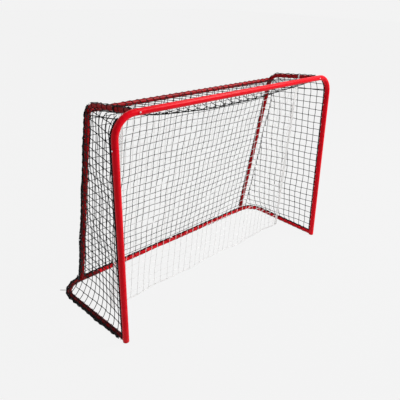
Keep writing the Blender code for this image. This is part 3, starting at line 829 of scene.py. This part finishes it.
def saddle_ring(at, direction, radius, bar_at, bar_direction, bar_radius):
    """The line where a tube's skin meets a bar's skin.

    A point of the tube's skin is at + r (cos t side + sin t over) + s direction, and s is the larger root that puts
    the point at the bar's radius from the bar's axis: the one on the tube's own side.
    """
    at, direction = np.array(at, float), normalised(np.array(direction, float))
    bar_at, bar_direction = np.array(bar_at, float), normalised(np.array(bar_direction, float))
    side = normalised(np.cross(direction, bar_direction))
    over = np.cross(direction, side)
    turn = np.linspace(0, 2 * np.pi, 40, endpoint=False)[:, None]
    skin = at + radius * (np.cos(turn) * side + np.sin(turn) * over)
    gap = skin - bar_at
    gap = gap - (gap @ bar_direction)[:, None] * bar_direction
    slope = direction - (direction @ bar_direction) * bar_direction
    a, b, c = slope @ slope, 2 * gap @ slope, np.sum(gap**2, axis=1) - bar_radius**2
    root = np.sqrt(np.maximum(b**2 - 4 * a * c, 0))
    reach = (-b + root) / (2 * a)
    return skin + reach[:, None] * direction, normalised(skin - at)


class GOAL_OT_weld_beads(bpy.types.Operator):
    """Lay a rippled weld bead round each place where a tube's shaped end meets another tube."""

    bl_idname = "goal.weld_beads"
    bl_label = "Weld Beads"

    def execute(self, context):
        skins = []
        bead = context.scene.goal_paint.bead
        for side in SIDES.values():
            x = side * HOOP_X
            up = (0, HOOP_CORNER_Y - BASE_Y, HOOP_CORNER_Z - REAR_R)
            back = (0, HOOP_CORNER_DEPTH, HOOP_CORNER_Z - BAR_Z)
            spots = (
                ((x, BASE_Y, REAR_R), up, REAR_R, (x, BASE_Y, REAR_R), (1, 0, 0), REAR_R),
                ((x, FRONT_Y, BAR_Z), back, REAR_R, (x, FRONT_Y, BAR_Z), (1, 0, 0), FRONT_R),
                ((side * POST_X, FRONT_Y, REAR_R), (side * (CORNER_X - POST_X), BASE_Y - FRONT_Y, 0), REAR_R,
                 (side * POST_X, FRONT_Y, 0), (0, 0, 1), FRONT_R),
                ((x, TOP_Y, TOP_Z), (-side, 0, 0), REAR_R, (x, TOP_Y, TOP_Z), HOOP_DIRECTION, REAR_R),
            )
            for spot in spots:
                ring, outward = saddle_ring(*spot)
                ripples = 1 + 0.14 * np.sin(np.arange(len(ring)) * 2 * np.pi / 2.5)
                skins.append(tube_skins(off_floor(ring), bead / 2 * ripples, 6, outward, closed=True))
        new_piece("weld_beads", joined(skins), FINISHES["weld"], "frame")
        return {"FINISHED"}


class GOAL_OT_back_net(bpy.types.Operator):
    """Hang the back net and its edge cords."""

    bl_idname = "goal.back_net"
    bl_label = "Back Net"

    def execute(self, context):
        nets = context.scene.goal_nets
        left, right = -seam_x(-1), seam_x(1)
        top = TOP_Z + REAR_R * 0.5
        first, second = across_net(left, right, nets.mesh), along_net(BACK_NET_LOW, top, nets.mesh)
        skin = square_net(first, second, straight(left, right), straight(BACK_NET_LOW, top), back_surface, (0, 1, 0),
                          nets.twine, nets.mesh, 5)
        bottom = back_surface(np.linspace(left, right, 160), np.full(160, BACK_NET_LOW))
        hem = tube_skins(bottom, nets.lacing * 0.75, 7, (0, 1, 0))
        dark_piece("back_net", [skin, hem], "net_back", finish="black")
        return {"FINISHED"}


class GOAL_OT_side_nets(bpy.types.Operator):
    """Hang the two side nets with the cords drawn through them and the seams along the uprights."""

    bl_idname = "goal.side_nets"
    bl_label = "Side Nets"

    def execute(self, context):
        nets = context.scene.goal_nets
        for word, side in SIDES.items():
            heights = np.linspace(1.0, 1.14, 200)
            meet = heights[np.argmin(np.abs(side_cord(side, seam_y(side, heights)) - heights))]
            y = np.linspace(NET_FRONT, seam_y(side, meet), 80)
            top = side_surface(side, y, side_cord(side, y))
            z = np.linspace(0.012, 1.10, 260)
            wave = np.sin(z * 2 * np.pi / nets.mesh)
            seam = side_surface(side, seam_y(side, z), z) + wave[:, None] * np.array([side * 0.0025, 0.004, 0])
            dashes = nets.lacing * (0.70 + 0.40 * np.clip(3 * np.cos(z * 2 * np.pi / nets.mesh), -1, 1))
            skins = [side_net(side, nets), tube_skins(top, SELVAGE_RADIUS, 7, (1, 0, 0)),
                     tube_skins(seam, dashes, 7, (1, 0, 0))]
            dark_piece("side_net_" + word, skins, "net_side_" + word, finish="black")
        return {"FINISHED"}


class GOAL_OT_roof_net(bpy.types.Operator):
    """Hang the roof net, a diamond net that is slack behind the crossbar."""

    bl_idname = "goal.roof_net"
    bl_label = "Roof Net"

    def execute(self, context):
        dark_piece("roof_net", roof_net(context.scene.goal_nets), "net_roof", finish="black")
        return {"FINISHED"}


class GOAL_OT_lacing(bpy.types.Operator):
    """Wind the lacing round the rear tubes and hang the edge cords behind the posts."""

    bl_idname = "goal.lacing"
    bl_label = "Lacing"

    def execute(self, context):
        nets = context.scene.goal_nets
        up, across = (0, 0, 1), (1, 0, 0)
        top = [(-HOOP_X + 0.02, TOP_Y, TOP_Z), (HOOP_X - 0.02, TOP_Y, TOP_Z)]
        runs = {"rear_top": laced(top, up, ((0, 1), (-85, -85)), nets, 3, 2, 0.2)}
        for word, side in SIDES.items():
            hoop = resampled(hoop_line(side), 0.01)[4:-3]
            behind = hoop[:, 1] > HOOP_CORNER_Y - 0.03
            base = resampled(base_line(side), 0.01)[4:-1]
            angle, strands, fan, reach = UPRIGHT_BUNCH[side]
            upright = laced(hoop[behind], across, ((0, 1), (angle, angle)), nets, 7 + side, strands, fan, (1,), reach)
            runs["hoop_" + word] = upright + laced(hoop[~behind], across, ((0, 1), (90, 90)), nets, 9 + side, 2, 0.3)
            angle, strands, fan, reach = BASE_BUNCH[side]
            facing = ((0, 0.38, 0.5, 1), (angle, angle, side * 42, side * 42))
            runs["base_" + word] = laced(base, up, facing, nets, 17 + side, strands, fan, BASE_HANDS[side], reach)
        for name, skins in runs.items():
            dark_piece("lacing_" + name, skins)
        for word, side in SIDES.items():
            out, back = EDGE_CORD_OFFSET[side]
            arc = np.radians(np.linspace(0, 50, 12))
            radius = FRONT_BEND_RADIUS + out
            bend_x, bend_z = POST_X - FRONT_BEND_RADIUS, BAR_Z - FRONT_BEND_RADIUS
            line = [(side * (POST_X + out), FRONT_Y + back, 0.035)]
            line += [(side * (bend_x + radius * math.cos(t)), FRONT_Y + back, bend_z + radius * math.sin(t))
                     for t in arc]
            skins = []
            for start, coil, hand in ((0.0, 0.0024, 1), (2.1, 0.0024, 1), (4.2, 0.0030, -1)):
                path, radial = wound(line, coil, nets.mesh, (0, 1, 0), hand, 0.3, 3, start)
                skins.append(tube_skins(path, EDGE_CORD_STRAND, 6, radial))
            dark_piece("edge_cord_" + word, skins, "post_cord_" + word)
        return {"FINISHED"}


class GOAL_OT_spare_net(bpy.types.Operator):
    """Bunch the net's spare cloth along the outer side of each base bar."""

    bl_idname = "goal.spare_net"
    bl_label = "Spare Net"

    def execute(self, context):
        nets = context.scene.goal_nets
        for word, side in SIDES.items():
            depth = np.linspace(NET_ROLL[0][0] - 0.01, NET_ROLL[-1][0] + 0.02, 190)
            radius = np.interp(depth, *np.array(NET_ROLL).T)
            centre = beside_base_bar(side, depth, radius * 0.7, ROLL_HEIGHT + 0.002)
            rng = np.random.default_rng(40 + side)
            skins = []
            for strand in range(SPARE_STRANDS):
                speed, phase = rng.uniform(4, 30), rng.uniform(0, 2 * np.pi)
                swing = rng.uniform(0.15, 1.05)
                turn = phase + speed * depth + 0.8 * np.sin(31 * depth + phase)
                bumps = 0.90 + 0.20 * np.sin(2 * np.pi * depth / nets.mesh + 0.4 * side)
                offset = radius * swing * bumps
                wander = np.stack([offset * np.cos(turn), 0 * depth, offset * np.sin(turn)], axis=-1)
                skins.append(tube_skins(off_floor(centre + wander), nets.twine * 0.55, 6, (0, 0, 1)))
            dark_piece("spare_net_" + word, skins, "net_roll_" + word)
        return {"FINISHED"}


def drop_surface(a, b):
    """The drop net at x = a (as at its foot) and b down from its line, leaning back, with soft upright folds."""
    half = DROP_TOP_HALF + (DROP_BOTTOM_HALF - DROP_TOP_HALF) * b / DROP_LENGTH
    x = a * half / DROP_BOTTOM_HALF
    fold = 0.006 * np.sin(a * 13.0 + 0.7) * np.clip(b / 0.3, 0, 1) + 0.003 * np.sin(a * 31.0 + 2.0)
    y = LINE_Y + b * math.sin(DROP_LEAN) + fold * np.clip(b / 0.05, 0, 1)
    points = np.stack([x, y, LINE_Z - b * math.cos(DROP_LEAN)], axis=-1)
    calm = np.clip(b / CALM_EDGE, 0, 1) * np.clip((DROP_LENGTH - b) / CALM_EDGE, 0, 1)
    return ripple(points, DROP_RIPPLE, [(1, 0, 0), (0, 0, 1)], calm)


class GOAL_OT_drop_net(bpy.types.Operator):
    """Hang the white drop net with its hem, its line and the two ties on the top side bars."""

    bl_idname = "goal.drop_net"
    bl_label = "Drop Net"

    def execute(self, context):
        nets = context.scene.goal_nets
        half = DROP_BOTTOM_HALF
        first = across_net(-half, half, nets.mesh)
        second = along_net(DROP_NET_FIRST, DROP_NET_LAST, nets.mesh)
        ropes = [square_net(first, second, straight(-half, half), straight(DROP_NET_FIRST, DROP_NET_LAST),
                            drop_surface, (0, 1, 0), nets.white_twine, nets.mesh, 23)]
        down = np.linspace(DROP_NET_FIRST, DROP_NET_LAST, 260)
        for side in SIDES.values():
            for phase in range(EDGE_STRANDS):
                edge = side * (half - EDGE_WAVE + EDGE_WAVE * np.sin(2 * np.pi * down / nets.mesh * 0.5 + phase))
                ropes.append(tube_skins(drop_surface(edge, down), nets.white_twine * 0.75, 5, (0, 1, 0)))
        new_piece("drop_net_twine", joined(ropes), FINISHES["white"], "drop_net_body", ("drop_net",))
        a = np.linspace(-half, half, 180)
        hem_path = drop_surface(a, np.full(180, DROP_LENGTH))
        hem = tube_skins(hem_path, HEM_RADIUS, 8, (0, 1, 0))
        new_piece("drop_net_edge", hem, FINISHES["hem"], "drop_net_body", ("drop_net_hem",))
        x = np.linspace(-LINE_HALF, LINE_HALF, 120)
        dip = 0.0008 * np.cos(x * 40.0)
        line = np.stack([x, np.full(120, LINE_Y), LINE_Z + dip], axis=-1)
        new_piece("drop_net_rope", tube_skins(line, LINE_RADIUS, 8, (0, 1, 0)), FINISHES["white"], "frame",
                  ("drop_net_line",))
        slope = normalised(np.array([0, HOOP_CORNER_DEPTH, HOOP_CORNER_Z - BAR_Z]))
        turn = np.linspace(0, 2 * np.pi, 32, endpoint=False)[:, None]
        radial = np.cos(turn) * np.array([1.0, 0, 0]) + np.sin(turn) * np.cross(slope, [1.0, 0, 0])
        for word, side in SIDES.items():
            skins = []
            middle = np.array([side * HOOP_X, LINE_Y, side_bar_z(LINE_Y)])
            for shift in (-TIE_PITCH, 0.0, TIE_PITCH):
                ring = middle + slope * (shift + 0.0008 * np.sin(turn * 2)) + radial * (REAR_R + 0.0020)
                skins.append(tube_skins(ring, TIE_ROPE_RADIUS, 6, radial, closed=True))
            finish, slot = ("cord", "black_twine") if side < 0 else ("white", "white_twine")
            new_piece("drop_tie_" + word, joined(skins), FINISHES[finish], "frame", ("drop_net_tie_" + word,))
        return {"FINISHED"}


class GOAL_OT_lacing_end(bpy.types.Operator):
    """Tie the lacing's knot on the left base bar and lay its loose end on the floor at the rear corner."""

    bl_idname = "goal.lacing_end"
    bl_label = "Lacing End"

    def execute(self, context):
        low, high = node_box("lacing_knot")
        middle = (low + high) / 2
        outward = np.array([math.cos(TAIL_ANGLE), math.sin(TAIL_ANGLE), 0.0])
        sideways = np.array([math.sin(TAIL_ANGLE), -math.cos(TAIL_ANGLE), 0.0])
        turn = np.linspace(0, 2 * np.pi, 90, endpoint=False)
        loops = np.stack([(2 + np.cos(3 * turn)) * np.cos(2 * turn), (2 + np.cos(3 * turn)) * np.sin(2 * turn),
                          1.3 * np.sin(3 * turn)], axis=-1)
        size = (KNOT_RADIUS - TAIL / 2) / 3
        across = np.stack([outward, sideways, np.array([0.0, 0.0, 1.0])])
        path = middle + size * loops @ across
        radial = normalised(path - middle)
        knot_skin = tube_skins(path, TAIL * 0.5, 8, radial, closed=True)
        dark_piece("lacing_overhand_knot", [knot_skin], "lacing_knot")
        corner = np.array([-BASE_BEND_X, BASE_Y - BASE_BEND_RADIUS, 0.0])
        start = corner + outward * (BASE_BEND_RADIUS + REAR_R + TAIL / 2 + 0.0003)
        along, height = np.array(TAIL_STEPS).T
        points = start + outward * along[:, None] + sideways * np.array(TAIL_BENDS)[:, None]
        points[:, 2] = height
        share = np.linspace(0, 1, len(points))
        fine = np.linspace(0, 1, 25)
        route = np.stack([np.polyval(np.polyfit(share, points[:, i], 4), fine) for i in range(3)], axis=1)
        tail = dark_piece("lacing_loose_end", [tube_skins(route, TAIL / 2, 8, (0, 0, 1))], "lacing_tail")
        return {"FINISHED"}


class GOAL_OT_stage(bpy.types.Operator):
    """Lay the pale floor, and set the soft lights, the backdrop and the camera."""

    bl_idname = "goal.stage"
    bl_label = "Stage"

    def execute(self, context):
        stage = context.scene.goal_stage
        scene = context.scene
        scene.view_settings.view_transform = "Standard"
        make_floor(stage)
        make_world(scene, stage)
        make_lights(scene, stage)
        make_camera(scene)
        return {"FINISHED"}


def seen_share(tree):
    """One where the camera, a mirror-like reflection or glass looks, and none for plain light."""
    path = tree.nodes.new("ShaderNodeLightPath")
    some = maths(tree, "MAXIMUM", path.outputs["Is Camera Ray"], path.outputs["Is Glossy Ray"])
    return maths(tree, "MAXIMUM", some, path.outputs["Is Transmission Ray"])


def make_floor(stage):
    size = 30.0
    mesh = bpy.data.meshes.new("floor")
    corners = [(-size, -size, -0.0005), (size, -size, -0.0005), (size, size, -0.0005), (-size, size, -0.0005)]
    mesh.from_pydata(corners, [], [(0, 1, 2, 3)])
    floor = bpy.data.objects.new("floor", mesh)
    bpy.context.scene.collection.objects.link(floor)
    material = bpy.data.materials.new("pale_floor")
    material.use_nodes = True
    tree = material.node_tree
    tree.nodes.remove(tree.nodes["Principled BSDF"])
    lit = tree.nodes.new("ShaderNodeBsdfDiffuse")
    lit.inputs["Color"].default_value = (0.80, 0.80, 0.80, 1.0)
    glow = tree.nodes.new("ShaderNodeEmission")
    glow.inputs["Color"].default_value = (stage.backdrop, stage.backdrop, stage.backdrop, 1.0)
    mix = tree.nodes.new("ShaderNodeMixShader")
    tree.links.new(maths(tree, "MULTIPLY", seen_share(tree), 0.985), mix.inputs["Fac"])
    tree.links.new(lit.outputs[0], mix.inputs[1])
    tree.links.new(glow.outputs[0], mix.inputs[2])
    tree.links.new(mix.outputs[0], tree.nodes["Material Output"].inputs["Surface"])
    mesh.materials.append(material)


def make_world(scene, stage):
    world = bpy.data.worlds.new("backdrop")
    scene.world = world
    world.use_nodes = True
    tree = world.node_tree
    background = tree.nodes["Background"]
    background.inputs["Color"].default_value = (1.0, 1.0, 1.0, 1.0)
    seen = seen_share(tree)
    strength = maths(tree, "ADD", maths(tree, "MULTIPLY", seen, stage.backdrop - stage.fill), stage.fill)
    tree.links.new(strength, background.inputs["Strength"])


def make_lights(scene, stage):
    target = np.array([0.0, 0.0, 0.6])
    spots = (("key", (3.2, -2.6, 4.2), 2.2, stage.key), ("rim", (-3.0, 2.6, 3.0), 2.6, stage.key * 0.04))
    for name, place, size, power in spots:
        lamp = bpy.data.lights.new(name, "AREA")
        lamp.size = size
        lamp.energy = power
        holder = bpy.data.objects.new(name, lamp)
        scene.collection.objects.link(holder)
        ray = normalised(target - np.array(place))
        yaw = math.atan2(-ray[0], ray[1])
        pitch = math.acos(-ray[2])
        holder.matrix_world = Matrix.Translation(place) @ Matrix.Rotation(yaw, 4, "Z") @ Matrix.Rotation(pitch, 4, "X")


# The camera's place and angles, and the photograph's middle in pixels of a 400 pixel frame
CAMERA_PLACE = (-1.8438, FRONT_Y - 1.6174, 1.6681)
CAMERA_YAW, CAMERA_PITCH, CAMERA_ROLL = math.radians(46.515), math.radians(21.466), math.radians(1.983)
FRAME_PIXELS = 400
FOCAL_PIXELS = 463.76
MIDDLE_PIXEL = (224.5, 171.91)


def make_camera(scene):
    camera = bpy.data.cameras.new("camera")
    camera.sensor_width = 36.0
    camera.lens = FOCAL_PIXELS / FRAME_PIXELS * camera.sensor_width
    camera.shift_x = (FRAME_PIXELS / 2 - MIDDLE_PIXEL[0]) / FRAME_PIXELS
    camera.shift_y = (MIDDLE_PIXEL[1] - FRAME_PIXELS / 2) / FRAME_PIXELS
    camera.clip_end = 200.0
    holder = bpy.data.objects.new("camera", camera)
    scene.collection.objects.link(holder)
    turn = (Matrix.Rotation(-CAMERA_YAW, 4, "Z") @ Matrix.Rotation(math.pi / 2 - CAMERA_PITCH, 4, "X")
            @ Matrix.Rotation(CAMERA_ROLL, 4, "Z"))
    holder.matrix_world = Matrix.Translation(CAMERA_PLACE) @ turn
    scene.camera = holder


OPERATORS = (GOAL_OT_finish_tubes, GOAL_OT_weld_beads, GOAL_OT_back_net, GOAL_OT_side_nets, GOAL_OT_roof_net,
             GOAL_OT_lacing, GOAL_OT_spare_net, GOAL_OT_drop_net, GOAL_OT_lacing_end, GOAL_OT_stage)


class GOAL_PT_looks(bpy.types.Panel):
    bl_label = "Floorball Goal"
    bl_idname = "GOAL_PT_looks"
    bl_space_type = "VIEW_3D"
    bl_region_type = "UI"
    bl_category = "Goal"

    def draw(self, context):
        for operator in OPERATORS:
            self.layout.operator(operator.bl_idname)
        for settings in (context.scene.goal_nets, context.scene.goal_paint, context.scene.goal_stage):
            for label in settings.__annotations__:
                self.layout.prop(settings, label)


SETTINGS = {"goal_nets": GoalNetSettings, "goal_paint": GoalPaintSettings, "goal_stage": GoalStageSettings}
CLASSES = tuple(SETTINGS.values()) + OPERATORS + (GOAL_PT_looks,)


def register():
    for cls in CLASSES:
        bpy.utils.register_class(cls)
    for name, group in SETTINGS.items():
        setattr(bpy.types.Scene, name, bpy.props.PointerProperty(type=group))


def unregister():
    for name in SETTINGS:
        delattr(bpy.types.Scene, name)
    for cls in reversed(CLASSES):
        bpy.utils.unregister_class(cls)


def main():
    register()
    scene = bpy.context.scene
    make_finishes(scene.goal_paint, scene.goal_nets)
    bpy.ops.goal.stage()
    bpy.ops.goal.lacing_end()
    bpy.ops.goal.finish_tubes()
    bpy.ops.goal.weld_beads()
    bpy.ops.goal.back_net()
    bpy.ops.goal.side_nets()
    bpy.ops.goal.roof_net()
    bpy.ops.goal.lacing()
    bpy.ops.goal.spare_net()
    bpy.ops.goal.drop_net()


if __name__ == "__main__":
    main()
